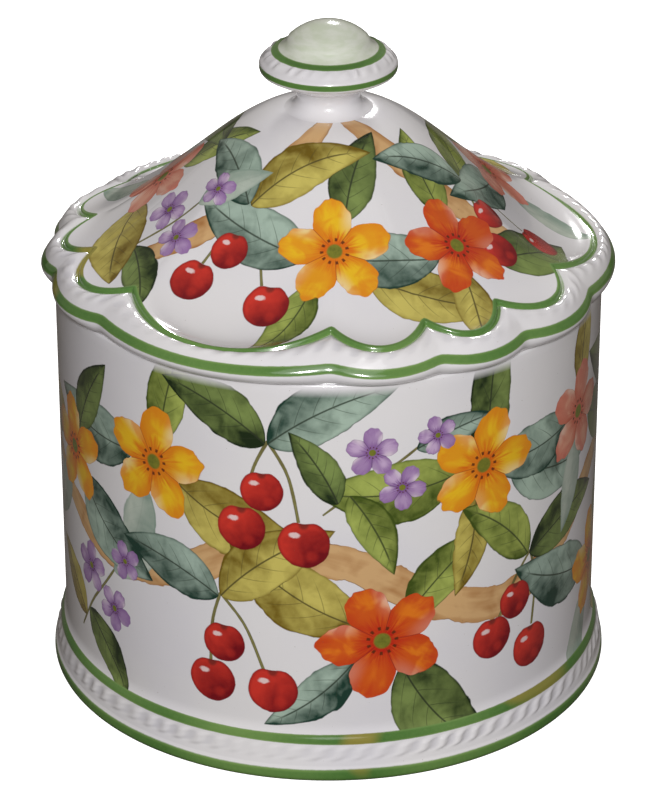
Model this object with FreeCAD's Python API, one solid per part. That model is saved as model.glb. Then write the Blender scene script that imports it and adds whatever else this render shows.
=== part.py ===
import FreeCAD
import Part
import math
import os

# A lidded biscuit jar in glazed earthenware. Millimetres, +Z up.
# The origin is on the jar's axis, on the surface that it stands on.
# The viewer's side is -Y. Angles are counter-clockwise from +X, seen from above.

# Turned pieces take each small curve as straight runs of at most this many degrees, for a light mesh.
run_angle = 50.0

# Jar: a straight round wall on a spreading foot.
wall_radius = 86.0
wall_thickness = 5.5
rim_height = 135.0
rim_rounding = 1.6
floor_thickness = 6.0
floor_blend = 9.0

# Foot, from the table up: a rolled bead, a sloping band for the rope moulding, and a cove.
bead_overhang = 4.2
bead_under = 0.7
bead_height = 4.8
bead_widest = 2.1
bead_quirk = 0.9
band_height = 8.2
band_top_overhang = 1.7
cove_height = 5.5
cove_hollow = 0.45
foot_recess = 3.5
foot_ring_width = 8.5
foot_ring_rounding = 1.0

# Lid, where it meets the jar: a flat seat on the rim, and a collar inside the mouth.
lid_play = 1.0
collar_depth = 8.0
collar_thickness = 5.0
collar_rounding = 1.2
lid_thickness = 5.0

# Lid rim: three wide scallops, and three small ones between each pair.
scallop_groups = 3
scallop_turn = 4.0
wide_scallop_angle = 53.2
first_scallop_angle = 22.0
middle_scallop_angle = 20.0
lip_overhang = 4.3
notch_depth = 2.8
lip_under = 1.6
lip_height = 2.4
line_inset = 1.2
line_height = 4.8
notch_rise = 1.6
band_crown = 2.2

# Lid dome: a bell that the scallops cut into, leaving a ridge at each notch.
cusp_inset = 11.5
cusp_height = 11.0
apron_width = 2.5
wide_scoop_inset = 2.6
wide_scoop_height = 6.1
wide_scoop_depth = 5.8
small_scoop_inset = 3.3
small_scoop_height = 8.2
small_scoop_depth = 1.4
dome_rise = 42.2
shoulder_rise = 4.3
shoulder_radius = 35.0

# Knob, from the dome up: a waisted stem, a thin brim, and a domed cap.
knob_foot_radius = 13.0
waist_radius = 9.9
waist_height = 4.5
stem_height = 8.9
stem_top_radius = 14.8
brim_radius = 21.5
brim_rise = 5.1
brim_edge_thickness = 4.4
brim_edge_depth = 1.1
cap_foot_radius = 16.0
cap_foot_rise = 5.0
cap_shoulder_radius = 12.4
cap_shoulder_rise = 3.7
cap_crown_rise = 5.2

floor_height = foot_recess + floor_thickness
band_top_height = bead_height + band_height
cove_top_height = band_top_height + cove_height
mouth_radius = wall_radius - wall_thickness
collar_radius = mouth_radius - lid_play
collar_bore = collar_radius - collar_thickness
cusp_radius = wall_radius - cusp_inset
seat = rim_height
knob_seat = seat + cusp_height + dome_rise


def spot(radius, height, angle=0.0):
    turn = math.radians(angle)
    return FreeCAD.Vector(radius * math.cos(turn), radius * math.sin(turn), height)


def straight(start, end):
    return Part.LineSegment(start, end).toShape()


def bow(start, middle, end):
    return Part.Arc(start, middle, end).toShape()


def sagged(start, end, hollow):
    # An arc whose middle lies inside the straight line by the given depth, for a run up the outside.
    way = (end - start).normalize()
    return bow(start, (start + end) / 2.0 - FreeCAD.Vector(way.z, 0, -way.x) * hollow, end)


def corner(centre_radius, centre_height, size, first, last):
    # A rounded edge: the quarter of a circle from one direction to the other, in degrees.
    points = []
    for direction in (first, (first + last) / 2.0, last):
        turn = math.radians(direction)
        points.append(spot(centre_radius + size * math.cos(turn), centre_height + size * math.sin(turn)))
    return bow(*points)


def runs(edge):
    # The straight runs that stand for a curve. A straight edge stays as it is.
    if edge.Curve.TypeId == "Part::GeomLine":
        return [edge]
    turn = math.degrees(edge.LastParameter - edge.FirstParameter)
    points = edge.discretize(max(2, math.ceil(turn / run_angle)) + 1)
    return [straight(start, end) for start, end in zip(points, points[1:])]


def turned(edges):
    # Closes an outline along its gaps with straight edges and turns it about the axis.
    closed = []
    for index, edge in enumerate(edges):
        closed += runs(edge)
        end = edge.lastVertex().Point
        start = edges[(index + 1) % len(edges)].firstVertex().Point
        if end.distanceToPoint(start) > 1e-6:
            closed.append(straight(end, start))
    face = Part.Face(Part.Wire(closed))
    return face.revolve(FreeCAD.Vector(0, 0, 0), FreeCAD.Vector(0, 0, 1), 360)


def make_jar_body():
    bead_radius = wall_radius + bead_overhang
    foot_edge = bead_radius - bead_under
    ring_inner = foot_edge - foot_ring_width
    band_foot = spot(bead_radius - bead_quirk, bead_height)
    band_top = spot(wall_radius + band_top_overhang, band_top_height)
    cove_top = spot(wall_radius, cove_top_height)
    return turned([
        straight(spot(0, floor_height), spot(0, foot_recess)),
        straight(spot(0, foot_recess), spot(ring_inner, foot_recess)),
        corner(ring_inner + foot_ring_rounding, foot_ring_rounding, foot_ring_rounding, 180, 270),
        bow(spot(foot_edge, 0), spot(bead_radius, bead_widest), band_foot),
        straight(band_foot, band_top),
        sagged(band_top, cove_top, cove_hollow),
        corner(wall_radius - rim_rounding, rim_height - rim_rounding, rim_rounding, 0, 90),
        corner(mouth_radius + rim_rounding, rim_height - rim_rounding, rim_rounding, 90, 180),
        corner(mouth_radius - floor_blend, floor_height + floor_blend, floor_blend, 0, -90),
    ])


def belly(along):
    # Runs from 0 at the start through 1, a quarter of the way along, to 0 at the end.
    peak = 0.25 * 0.75 ** 3
    return along * (1.0 - along) ** 3 / peak


def ridge_height(radius):
    along = (radius - knob_foot_radius) / (cusp_radius - knob_foot_radius)
    return seat + cusp_height + dome_rise * (1.0 - along) + shoulder_rise * belly(along)


def scallops():
    # Each scallop as its middle angle, its width and whether it is a wide one.
    group_angle = 360.0 / scallop_groups
    last_scallop_angle = group_angle - wide_scallop_angle - first_scallop_angle - middle_scallop_angle
    small_angles = (first_scallop_angle, middle_scallop_angle, last_scallop_angle)
    found = []
    for group in range(scallop_groups):
        start = scallop_turn - wide_scallop_angle / 2.0 + group * group_angle
        found.append((start + wide_scallop_angle / 2.0, wide_scallop_angle, True))
        start += wide_scallop_angle
        for width in small_angles:
            found.append((start + width / 2.0, width, False))
            start += width
    return found


class Section:
    # The lid's outline at one angle. Fullness is 1 in a scallop's middle and 0 at a notch.
    def __init__(self, angle, fullness, wide):
        inset = wide_scoop_inset if wide else small_scoop_inset
        height = wide_scoop_height if wide else small_scoop_height
        self.angle = angle
        self.depth = fullness * (wide_scoop_depth if wide else small_scoop_depth)
        self.edge_radius = cusp_radius + fullness * (cusp_inset - inset)
        self.edge_height = seat + cusp_height + fullness * (height - cusp_height)
        self.lip_radius = wall_radius + lip_overhang - notch_depth * (1.0 - fullness)
        self.line_height = seat + line_height + notch_rise * (1.0 - fullness)

    def height(self, radius):
        along = (self.edge_radius - radius) / (self.edge_radius - knob_foot_radius)
        step = self.edge_height - ridge_height(self.edge_radius)
        return ridge_height(radius) + step * (1.0 - along) ** 4 - self.depth * belly(along)

    def spot(self, radius, height):
        return spot(radius, height, self.angle)

    def outside(self):
        # The bevelled lip, the crowned band, the apron of the scallop and the two bows of the dome.
        under = self.spot(self.lip_radius - lip_under, seat)
        lip = self.spot(self.lip_radius, seat + lip_height)
        line = self.spot(self.lip_radius - line_inset, self.line_height)
        edge = self.spot(self.edge_radius, self.edge_height)
        crown = (line + edge) / 2.0 + FreeCAD.Vector(0, 0, band_crown)
        apron_end, shoulder, top = self.on_slope((cusp_radius - apron_width, shoulder_radius, knob_foot_radius))
        lower_middle, upper_middle = self.on_slope((
            (cusp_radius - apron_width + shoulder_radius) / 2.0,
            (shoulder_radius + knob_foot_radius) / 2.0,
        ))
        rim = [straight(start, end) for start, end in ((under, lip), (lip, line), (line, crown), (crown, edge))]
        apron = straight(edge, apron_end)
        dome = [bow(apron_end, lower_middle, shoulder), bow(shoulder, upper_middle, top)]
        return Part.Wire(rim + [apron] + dome)

    def inside(self):
        below_collar = seat - 2.0 * collar_depth
        foot = self.spot(collar_bore, below_collar)
        drop = lid_thickness / math.cos(math.atan2(dome_rise, cusp_radius - knob_foot_radius))
        radii = [collar_bore + share * (knob_foot_radius - collar_bore) for share in (0.0, 0.25, 0.5, 0.75, 1.0)]
        points = [foot] + self.on_slope(radii, drop)
        return Part.Wire([straight(start, end) for start, end in zip(points, points[1:])])

    def on_slope(self, radii, drop=0.0):
        # Spots on the dome at the given radii, or as far under it as drop says.
        return [self.spot(radius, self.height(radius) - drop) for radius in radii]


def fluted(outline):
    # Lofts one outline of the lid across every scallop, and closes it flat at both ends.
    faces = []
    for middle, width, wide in scallops():
        steps = 4 if wide else 2
        wires = []
        for step in range(steps + 1):
            across = 2.0 * step / steps - 1.0
            section = Section(middle + across * width / 2.0, 1.0 - across ** 2, wide)
            wires.append(outline(section))
        faces += Part.makeLoft(wires, False, False).Faces
    skin = Part.Shell(faces)
    skin.sewShape()
    open_edges = [edge for edge in skin.Edges if len(skin.ancestorsOfType(edge, Part.Face)) == 1]
    for loop in Part.sortEdges(open_edges):
        faces.append(Part.Face(Part.Wire(loop)))
    closed = Part.Shell(faces)
    closed.sewShape()
    return Part.makeSolid(closed)


def make_lid():
    collar = turned([
        straight(spot(0, seat + collar_rounding), spot(0, seat - collar_depth)),
        corner(collar_radius - collar_rounding, seat - collar_depth + collar_rounding, collar_rounding, -90, 0),
        straight(spot(collar_radius, seat), spot(collar_radius, seat + collar_rounding)),
    ])
    blank = fluted(Section.outside).fuse(collar)
    return blank.cut(fluted(Section.inside))


def make_knob():
    def at(radius, height):
        return spot(radius, knob_seat + height)

    def stem_flare(end_radius, end_height):
        # An arc that leaves the waist straight up or down and ends at the given spot.
        out = end_radius - waist_radius
        along = end_height - waist_height
        size = (out ** 2 + along ** 2) / (2.0 * out)
        turn = math.atan2(abs(along), size - out) / 2.0
        middle_radius = waist_radius + size * (1.0 - math.cos(turn))
        middle_height = waist_height + math.copysign(size * math.sin(turn), along)
        return at(middle_radius, middle_height)

    edge_height = stem_height + brim_rise
    foot = at(knob_foot_radius, 0)
    waist = at(waist_radius, waist_height)
    stem_top = at(stem_top_radius, stem_height)
    under = at(brim_radius - brim_edge_depth, edge_height - brim_edge_thickness / 2.0)
    over = at(brim_radius - brim_edge_depth, edge_height + brim_edge_thickness / 2.0)
    cap_foot = at(cap_foot_radius, edge_height + cap_foot_rise)
    shoulder_height = edge_height + cap_foot_rise + cap_shoulder_rise
    shoulder = at(cap_shoulder_radius, shoulder_height)
    crown_size = (cap_shoulder_radius ** 2 + cap_crown_rise ** 2) / (2.0 * cap_crown_rise)
    crown_turn = math.asin(cap_shoulder_radius / crown_size) / 2.0
    top = shoulder_height + cap_crown_rise
    crown_middle = at(crown_size * math.sin(crown_turn), top - crown_size * (1.0 - math.cos(crown_turn)))
    return turned([
        straight(at(0, 0), foot),
        bow(foot, stem_flare(knob_foot_radius, 0), waist),
        bow(waist, stem_flare(stem_top_radius, stem_height), stem_top),
        straight(stem_top, under),
        bow(under, at(brim_radius, edge_height), over),
        straight(over, cap_foot),
        straight(cap_foot, shoulder),
        bow(shoulder, crown_middle, at(0, top)),
    ])


os.makedirs("parts", exist_ok=True)
for name, make in (("jar_body", make_jar_body), ("lid", make_lid), ("knob", make_knob)):
    shape = make()
    shape.exportStep("parts/" + name + ".step")
    print(name, "closed and valid:", shape.isValid(), "solids:", len(shape.Solids), "mm3:", round(shape.Volume))
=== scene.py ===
import math
import bmesh
import bpy
import numpy as np
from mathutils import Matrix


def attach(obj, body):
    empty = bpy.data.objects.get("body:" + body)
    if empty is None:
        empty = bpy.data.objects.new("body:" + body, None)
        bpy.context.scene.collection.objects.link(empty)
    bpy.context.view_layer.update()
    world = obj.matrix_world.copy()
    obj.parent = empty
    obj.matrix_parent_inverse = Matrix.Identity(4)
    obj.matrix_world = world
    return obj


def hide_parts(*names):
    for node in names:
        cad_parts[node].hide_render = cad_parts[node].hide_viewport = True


# A lidded biscuit jar in glazed earthenware, painted by hand under the glaze.
# Blender works in metres. Sizes in the dictionaries are millimetres and degrees.
# The jar's axis is Z, the viewer is on the -Y side, and angles run counter-clockwise from +X.

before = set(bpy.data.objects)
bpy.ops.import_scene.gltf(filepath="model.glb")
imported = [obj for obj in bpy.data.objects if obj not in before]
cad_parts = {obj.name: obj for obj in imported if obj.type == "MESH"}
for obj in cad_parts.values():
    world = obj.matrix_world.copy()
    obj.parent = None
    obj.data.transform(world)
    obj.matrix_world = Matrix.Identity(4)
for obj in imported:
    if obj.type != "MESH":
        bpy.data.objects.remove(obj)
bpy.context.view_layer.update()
mm = 0.001


# What a user would change on each piece

jarSize = {
    "wallRadius": 86.0, "mouthRadius": 80.5, "rimHeight": 135.0, "rimRounding": 1.6,
    "floorHeight": 9.5, "floorBlend": 9.0, "coveTop": 18.5, "coveHollow": 0.45,
    "bandTop": 13.0, "bandTopRadius": 87.7, "beadTop": 4.8, "beadTopRadius": 89.3, "beadRadius": 90.1,
    "beadMiddle": 2.1, "footEdge": 89.5, "footRounding": 1.0, "footRingWidth": 8.5, "footRecess": 3.5,
    "columns": 756, "bandSteps": 20, "ropeStrokes": 86, "ropeDepth": 0.65, "ropeSink": 0.3, "ropeSlant": 0.95,
    "ropeFirst": 0.2, "ropeLast": 0.84,
    "lineHeight": 13.4, "lineHalf": 1.5, "beadLineHeight": 1.9, "beadLineHalf": 2.25,
}

lidSize = {
    "seat": 135.0, "wallRadius": 86.0, "turn": 4.0, "scallops": (53.2, 22.0, 20.0, 24.8), "groups": 3,
    "lipOverhang": 4.2, "notchDepth": 2.8, "lipUnder": 1.6, "lineInset": 1.2,
    "lineHeight": 4.8, "notchRise": 1.6, "bandCrown": 2.2, "cuspInset": 11.5, "cuspHeight": 11.0,
    "wideInset": 2.6, "wideHeight": 6.1, "wideDepth": 5.8,
    "smallInset": 3.3, "smallHeight": 8.2, "smallDepth": 1.4,
    "edgeStep": 1.25, "edgeReach": 8.0, "edgeRounding": 0.7, "edgeFoot": 0.45, "edgeSink": 0.1,
    "domeRise": 42.2, "shoulderRise": 4.3, "neckRadius": 13.0, "drop": 6.06,
    "collarRadius": 79.5, "collarBore": 74.5, "collarDepth": 8.0, "collarRounding": 1.2,
    "columns": 900, "slopeSteps": 40, "edgeSteps": 7, "bandSteps": 14, "lipSteps": 8, "hollowSteps": 13,
    "ridgeSoftening": 13, "lipSoftening": 5,
    "ropeStrokes": 90, "ropeDepth": 0.36, "ropeSink": 0.4, "ropeOut": 0.4, "ropeUp": 0.9, "ropeSlant": 0.9,
    "ropeFirst": 0.22, "ropeLast": 0.78,
    "innerLineHalf": 1.4, "outerLineHalf": 1.65,
}

knobSize = {
    "foot": 188.2, "footFlare": 15.4, "footSink": 0.3, "waistRadius": 9.9, "waistHeight": 4.5, "stemHeight": 8.9,
    "stemTopRadius": 14.8, "brimRadius": 21.3, "brimHeight": 14.0, "brimEdge": 2.1, "brimInset": 1.0,
    "capFootRadius": 16.0, "capFootHeight": 19.0, "capShoulderRadius": 12.4, "capShoulderHeight": 22.7,
    "capTop": 27.8, "columns": 512, "brimSteps": 9,
    "ropeStrokes": 28, "ropeDepth": 0.34, "ropeSlant": 0.7, "ropeStart": 3, "ropeSpan": 6.5,
    "ringOut": 0.5, "ringHalf": 1.3, "brimLineHalf": 0.95,
}

# How strongly shade is painted into the hollows of each rope moulding, with the faint blue of pooled glaze
hollowShade = {"jar": 1.0, "lid": 0.8, "knob": 0.5}

paintLayers = {"stroke": ("vine", "stem", "twig"), "leaf": ("leafA", "leafB", "leafC", "leafD"),
               "fruit": ("fruitA", "fruitB"), "blossom": ("blossomA", "blossomB")}


# Outlines, as rows of (radius, height) from one pole to the other

def run(start, end, count):
    # Even steps on a straight line, without its start.
    return [(start[0] + (end[0] - start[0]) * step / count, start[1] + (end[1] - start[1]) * step / count)
            for step in range(1, count + 1)]


def arc(centre, radius, first, last, count):
    # Even steps on a circle between two directions, without its start.
    turns = [math.radians(first + (last - first) * step / count) for step in range(1, count + 1)]
    return [(centre[0] + radius * math.cos(turn), centre[1] + radius * math.sin(turn)) for turn in turns]


def bowed(start, end, hollow, count):
    # A run whose middle is pulled inwards by hollow, or pushed outwards by a negative one.
    length = math.dist(start, end)
    side = ((end[1] - start[1]) / length, -(end[0] - start[0]) / length)
    points = []
    for step, point in enumerate(run(start, end, count), 1):
        pull = 4.0 * hollow * (step / count) * (1.0 - step / count)
        points.append((point[0] + side[0] * pull, point[1] + side[1] * pull))
    return points


def jarRows():
    # The outline, and which of its rows are the top of the wall, the top of the band and the edge of the foot.
    size = jarSize
    wall, mouth, rim, rounding = size["wallRadius"], size["mouthRadius"], size["rimHeight"], size["rimRounding"]
    floor, blend, ringInner = size["floorHeight"], size["floorBlend"], size["footEdge"] - size["footRingWidth"]
    bandTop, beadTop = (size["bandTopRadius"], size["bandTop"]), (size["beadTopRadius"], size["beadTop"])
    beadMiddle, under = (size["beadRadius"], size["beadMiddle"]), size["footRounding"]
    rows = [(0.0, floor)]
    rows += run((0.0, floor), (mouth - blend, floor), 5)
    rows += arc((mouth - blend, floor + blend), blend, -90, 0, 7)
    rows += run((mouth, floor + blend), (mouth, rim - rounding), 9)
    rows += arc((mouth + rounding, rim - rounding), rounding, 180, 90, 5)
    rows += run((mouth + rounding, rim), (wall - rounding, rim), 1)
    rows += arc((wall - rounding, rim - rounding), rounding, 90, 0, 5)
    wallRow = len(rows) - 1
    rows += run((wall, rim - rounding), (wall, size["coveTop"]), 38)
    rows += bowed((wall, size["coveTop"]), bandTop, size["coveHollow"], 6)
    bandRow = len(rows) - 1
    rows += run(bandTop, beadTop, size["bandSteps"])
    rows += bowed(beadTop, beadMiddle, -0.25, 4)
    rows += bowed(beadMiddle, (size["footEdge"], 0.0), -0.3, 4)
    footRow = len(rows) - 1
    rows += run((size["footEdge"], 0.0), (ringInner + under, 0.0), 2)
    rows += arc((ringInner + under, under), under, -90, -180, 2)
    rows += run((ringInner, under), (ringInner, size["footRecess"]), 1)
    rows += run((ringInner, size["footRecess"]), (0.0, size["footRecess"]), 3)
    return np.array(rows), wallRow, bandRow, footRow


def knobRows():
    # The outline, and which of its rows are the foot of the cap and the edge of the brim.
    size = knobSize
    top = size["capTop"]
    shoulder = (size["capShoulderRadius"], size["capShoulderHeight"])
    capFoot = (size["capFootRadius"], size["capFootHeight"])
    rise = top - shoulder[1]
    crown = (shoulder[0] ** 2 + rise ** 2) / (2.0 * rise)
    reach = math.degrees(math.asin(shoulder[0] / crown))
    over = (size["brimRadius"] - size["brimInset"], size["brimHeight"] + size["brimEdge"])
    edge = (size["brimRadius"], size["brimHeight"])
    under = (over[0], size["brimHeight"] - size["brimEdge"])
    stemTop = (size["stemTopRadius"], size["stemHeight"])
    rows = [(0.0, top)]
    rows += arc((0.0, top - crown), crown, 90, 90 - reach, 9)
    rows += bowed(shoulder, capFoot, 0.4, 6)
    capRow = len(rows) - 1
    rows += bowed(capFoot, over, -0.5, size["brimSteps"])
    rows += bowed(over, edge, -0.45, 4)
    brimRow = len(rows) - 1
    rows += bowed(edge, under, -0.45, 4)
    rows += run(under, stemTop, 4)
    rows += bowed(stemTop, (size["waistRadius"], size["waistHeight"]), 0.9, 6)
    # The foot flares out into the dome as a quarter of an ellipse.
    flare, sink = size["footFlare"] - size["waistRadius"], size["waistHeight"] + size["footSink"]
    for step in range(1, 11):
        turn = math.radians(9.0 * step)
        rows.append((size["footFlare"] - flare * math.cos(turn), size["waistHeight"] - sink * math.sin(turn)))
    rows += run(rows[-1], (0.0, -size["footSink"]), 2)
    return np.array(rows) + (0.0, size["foot"]), capRow, brimRow


# The lid's shape, the same at every angle but for how full the scallop is there

def belly(along):
    # A swelling of height 1 that is fullest a quarter of the way along.
    return along * (1.0 - along) ** 3 / (0.25 * 0.75 ** 3)


def ridgeHeight(radius):
    # The dome's height where no scallop hollows it.
    size = lidSize
    along = (radius - size["neckRadius"]) / (size["wallRadius"] - size["cuspInset"] - size["neckRadius"])
    return size["seat"] + size["cuspHeight"] + size["domeRise"] * (1.0 - along) + size["shoulderRise"] * belly(along)


def scallopStarts():
    # Where each scallop starts, how wide it is and whether it is a wide one.
    found = []
    for group in range(lidSize["groups"]):
        start = lidSize["turn"] - lidSize["scallops"][0] / 2.0 + group * 360.0 / lidSize["groups"]
        for index, width in enumerate(lidSize["scallops"]):
            found.append((start, width, index == 0))
            start += width
    return found


def lidSection(angle):
    # The lid's measures at one angle.
    size = lidSize
    for start, width, wide in scallopStarts():
        along = ((angle - start) % 360.0) / width
        if along < 1.0:
            break
    fullness = 1.0 - (2.0 * along - 1.0) ** 2
    kind = "wide" if wide else "small"
    return {
        "depth": fullness * size[kind + "Depth"],
        "edgeRadius": size["wallRadius"] - size["cuspInset"] + fullness * (size["cuspInset"] - size[kind + "Inset"]),
        "edgeHeight": size["seat"] + size["cuspHeight"] + fullness * (size[kind + "Height"] - size["cuspHeight"]),
        "lipRadius": size["wallRadius"] + size["lipOverhang"] - size["notchDepth"] * (1.0 - fullness),
        "lineHeight": size["seat"] + size["lineHeight"] + size["notchRise"] * (1.0 - fullness),
    }


def domeHeight(section, radius):
    edge = section["edgeRadius"]
    along = (edge - radius) / (edge - lidSize["neckRadius"])
    step = section["edgeHeight"] - ridgeHeight(edge)
    return ridgeHeight(radius) + step * (1.0 - along) ** 4 - section["depth"] * belly(along)


def lidRows(section):
    # The rows of one angle, from the middle under the knob to the middle of the hollow.
    size = lidSize
    neck, seat, lip, edge = size["neckRadius"], size["seat"], section["lipRadius"], section["edgeRadius"]
    line, crest = (lip - size["lineInset"], section["lineHeight"]), domeHeight(section, neck)
    rows = [(0.0, crest), (neck * 0.5, crest), (neck, crest)]
    rounding, top = size["edgeRounding"], edge - size["edgeRounding"]
    for step in range(1, size["slopeSteps"] + 1):
        radius = neck + (top - neck) * (step / size["slopeSteps"]) ** 0.9
        swell = max(0.0, 1.0 - (top - radius) / size["edgeReach"]) ** 2
        rows.append((radius, domeHeight(section, radius) + size["edgeStep"] * swell))
    # The dome's scalloped edge ends in a rounded step down to the band.
    rows += arc((top, rows[-1][1] - rounding), rounding, 90, 20, size["edgeSteps"] - 3)
    foot = (edge + size["edgeFoot"], section["edgeHeight"] - size["edgeSink"])
    rows += run(rows[-1], foot, 3)
    for step, (radius, height) in enumerate(run(foot, line, size["bandSteps"]), 1):
        share = step / size["bandSteps"]
        rows.append((radius, height + 4.0 * size["bandCrown"] * share * (1.0 - share)))
    under = lip - size["lipUnder"]
    for step, (radius, height) in enumerate(run(line, (under, seat), size["lipSteps"]), 1):
        bulge = 1.0 - (2.0 * step / size["lipSteps"] - 1.0) ** 2
        rows.append((radius + (lip - (line[0] + under) / 2.0) * bulge, height))
    bottom, collar, bore = seat - size["collarDepth"], size["collarRadius"], size["collarBore"]
    rounding = size["collarRounding"]
    rows += run(rows[-1], (collar, seat), 3)
    rows += run((collar, seat), (collar, bottom + rounding), 3)
    rows += arc((collar - rounding, bottom + rounding), rounding, 0, -90, 3)
    rows += run((collar - rounding, bottom), (bore, bottom), 1)
    rows += run((bore, bottom), (bore, domeHeight(section, bore) - size["drop"]), 3)
    for step in range(1, size["hollowSteps"] + 1):
        radius = bore + (neck - bore) * step / size["hollowSteps"]
        rows.append((radius, domeHeight(section, radius) - size["drop"]))
    return rows + [(neck * 0.5, rows[-1][1]), (0.0, rows[-1][1])]


def ropeStroke(turn, share, size):
    # The moulded rope at a share of a full turn and of its own width: its height and its hollows, 0 to 1.
    across = share - 0.5
    lean = size["ropeSlant"] * (across - 0.12 * math.sin(2.0 * math.pi * across))
    drift = 0.14 * np.sin(2.0 * np.pi * (7.0 * turn + 0.2)) + 0.09 * np.sin(2.0 * np.pi * 17.0 * turn)
    ridge = (0.5 + 0.5 * np.cos(2.0 * np.pi * (turn * size["ropeStrokes"] - lean + drift))) ** 1.3
    melt = 0.64 + 0.22 * np.sin(2.0 * np.pi * (5.0 * turn + 0.1)) + 0.14 * np.sin(2.0 * np.pi * (13.0 * turn + 0.6))
    fade = min(1.0, share / 0.3, (1.0 - share) / 0.3)
    fade = melt * fade * fade * (3.0 - 2.0 * fade)
    return ridge * fade, (1.0 - ridge) * fade


def bandRope(size, row, turn, start, upwards):
    # The rope on a band's rows. Its strokes are counted from the band's lower edge.
    lift, hollow = np.zeros(len(row)), np.zeros(len(row))
    for step in range(size["bandSteps"] + 1):
        share = step / size["bandSteps"]
        share = ((1.0 - share if upwards else share) - size["ropeFirst"]) / (size["ropeLast"] - size["ropeFirst"])
        if 0.0 < share < 1.0:
            chosen = row == start + step
            lift[chosen], hollow[chosen] = ropeStroke(turn[chosen], share if upwards else 1.0 - share, size)
    return lift, hollow


def softened(values, reach):
    # Values around the axis, evened out over so many places on each side.
    weights = 0.5 + 0.5 * np.cos(np.linspace(-math.pi, math.pi, 2 * reach + 3)[1:-1])
    return sum(weight * np.roll(values, step - reach) for step, weight in enumerate(weights / weights.sum()))


farAway = 40.0


def ringSpan(spots, row, column, chosen):
    # Each point's way to the nearest point of one row.
    ring = np.zeros((column.max() + 1, 3))
    ring[column[row == chosen]] = spots[row == chosen]
    best = np.full(len(spots), farAway)
    for step in range(-28, 29):
        best = np.minimum(best, np.linalg.norm(spots - ring[(column + step) % len(ring)], axis=1))
    return best


# Meshes: a grid is rolled up into a sphere, whose rings are then moved to the outline's rows

def numbers(items, label, width=1, kind=float):
    # One property of all vertices, corners or faces.
    values = np.empty(len(items) * width, dtype=kind)
    items.foreach_get(label, values)
    return values.reshape(-1, width) if width > 1 else values


def rolledMesh(name, columns, rows):
    model = bmesh.new()
    bmesh.ops.create_grid(model, x_segments=columns, y_segments=rows - 1, size=1.0)
    for vert in model.verts:
        turn, lean = math.pi * (vert.co.x + 1.0), math.pi * (1.0 - vert.co.y) / 2.0
        vert.co = (math.sin(lean) * math.cos(turn), math.sin(lean) * math.sin(turn), math.cos(lean))
    bmesh.ops.remove_doubles(model, verts=model.verts, dist=1e-5)
    mesh = bpy.data.meshes.new(name)
    model.to_mesh(mesh)
    model.free()
    spots = numbers(mesh.vertices, "co", 3)
    row = np.rint(np.arccos(np.clip(spots[:, 2], -1.0, 1.0)) / np.pi * (rows - 1)).astype(int)
    column = np.rint(np.arctan2(spots[:, 1], spots[:, 0]) / (2.0 * np.pi) * columns).astype(int) % columns
    return mesh, row, column


def turnedSpots(radius, height, turn):
    # Points at a radius, a height and a share of a full turn.
    return np.stack((radius * np.cos(2 * np.pi * turn), radius * np.sin(2 * np.pi * turn), height), axis=1)


def lengthsAlong(outline):
    return np.concatenate(([0.0], np.cumsum(np.hypot(*np.diff(outline, axis=0).T))))


def addPointValues(mesh, **values):
    for name, points in values.items():
        attribute = mesh.attributes.new(name, "FLOAT", "POINT")
        attribute.data.foreach_set("value", np.asarray(points, dtype=np.float32))


def placePiece(mesh, spots, charts, body, node):
    # charts gives each corner its place on the map that a baked copy would use.
    mesh.uv_layers.new(name="OFBake").data.foreach_set("uv", charts.astype(np.float32).ravel())
    mesh.vertices.foreach_set("co", (spots * mm).astype(np.float32).ravel())
    mesh.update()
    mesh.shade_smooth()
    piece = bpy.data.objects.new(mesh.name, mesh)
    bpy.context.scene.collection.objects.link(piece)
    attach(piece, body)
    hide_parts(node)
    print(mesh.name, "faces", len(mesh.polygons))
    return piece


def cornerFaces(mesh):
    # Each corner's point and face.
    totals = numbers(mesh.polygons, "loop_total", kind=np.int64)
    return numbers(mesh.loops, "vertex_index", kind=np.int64), np.repeat(np.arange(len(totals)), totals)


def faceMiddles(values, faceOf):
    # The mean over each face, given to its corners.
    return (np.bincount(faceOf, values) / np.bincount(faceOf))[faceOf]


def cornerTurns(places, faceOf):
    # Each corner's turn about the axis, unbroken over its own face, and its face's, in shares of a full turn.
    centre = np.arctan2(faceMiddles(places[:, 1], faceOf), faceMiddles(places[:, 0], faceOf)) / (2.0 * np.pi) % 1.0
    turns = np.arctan2(places[:, 1], places[:, 0]) / (2.0 * np.pi) % 1.0
    turns = np.where(np.hypot(places[:, 0], places[:, 1]) < 1e-6, centre, turns)
    return turns + np.rint(centre - turns), centre


def discChart(centre, spread, turn):
    return np.stack((centre[0] + spread * np.cos(2.0 * np.pi * turn), centre[1] + spread * np.sin(2.0 * np.pi * turn)),
                    axis=1)


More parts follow.
